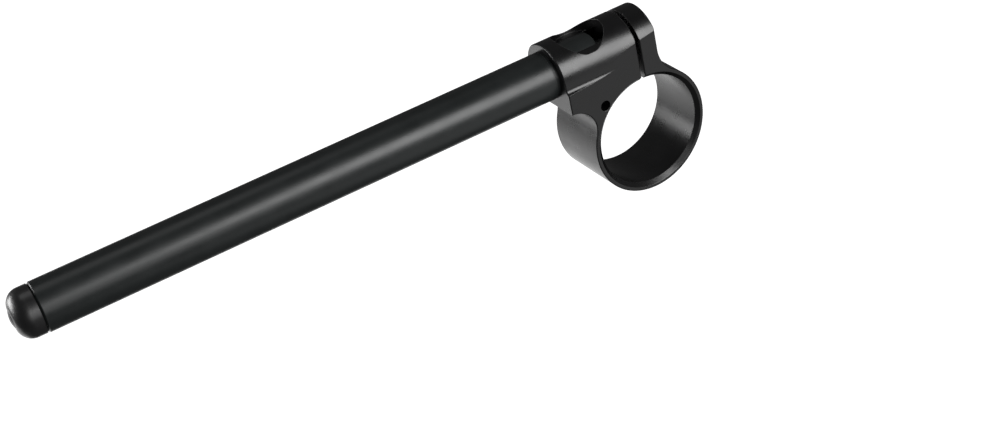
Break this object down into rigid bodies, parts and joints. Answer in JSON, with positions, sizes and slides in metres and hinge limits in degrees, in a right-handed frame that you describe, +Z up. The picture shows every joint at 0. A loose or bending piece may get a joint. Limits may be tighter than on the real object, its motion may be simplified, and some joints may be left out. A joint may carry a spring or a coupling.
{
  "type": "clip-on handlebar",
  "caption": "Clip-on handlebar for one side of a motorcycle: a split fork clamp with a short boss, and a drooping round bar closed by an end cap.",
  "frame": {"origin": "centre of the fork clamp's bore, at half the clamp's height", "axes": "+Z up the fork leg along the bore, +X the way the bar points outwards seen from above, -Y from the fork towards the bar"},
  "size_m": [0.3169, 0.085, 0.0415],
  "materials": {
    "clamp_body": "black anodised, satin",
    "bar_tube": "black anodised, satin",
    "end_cap": "glossy black",
    "pinch_bolt": "zinc plated"
  },
  "bodies": {
    "root": {"clamp_body": "clamp_body", "bar_tube": "bar_tube", "end_cap": "end_cap", "pinch_bolt": "pinch_bolt"}
  },
  "joints": []
}
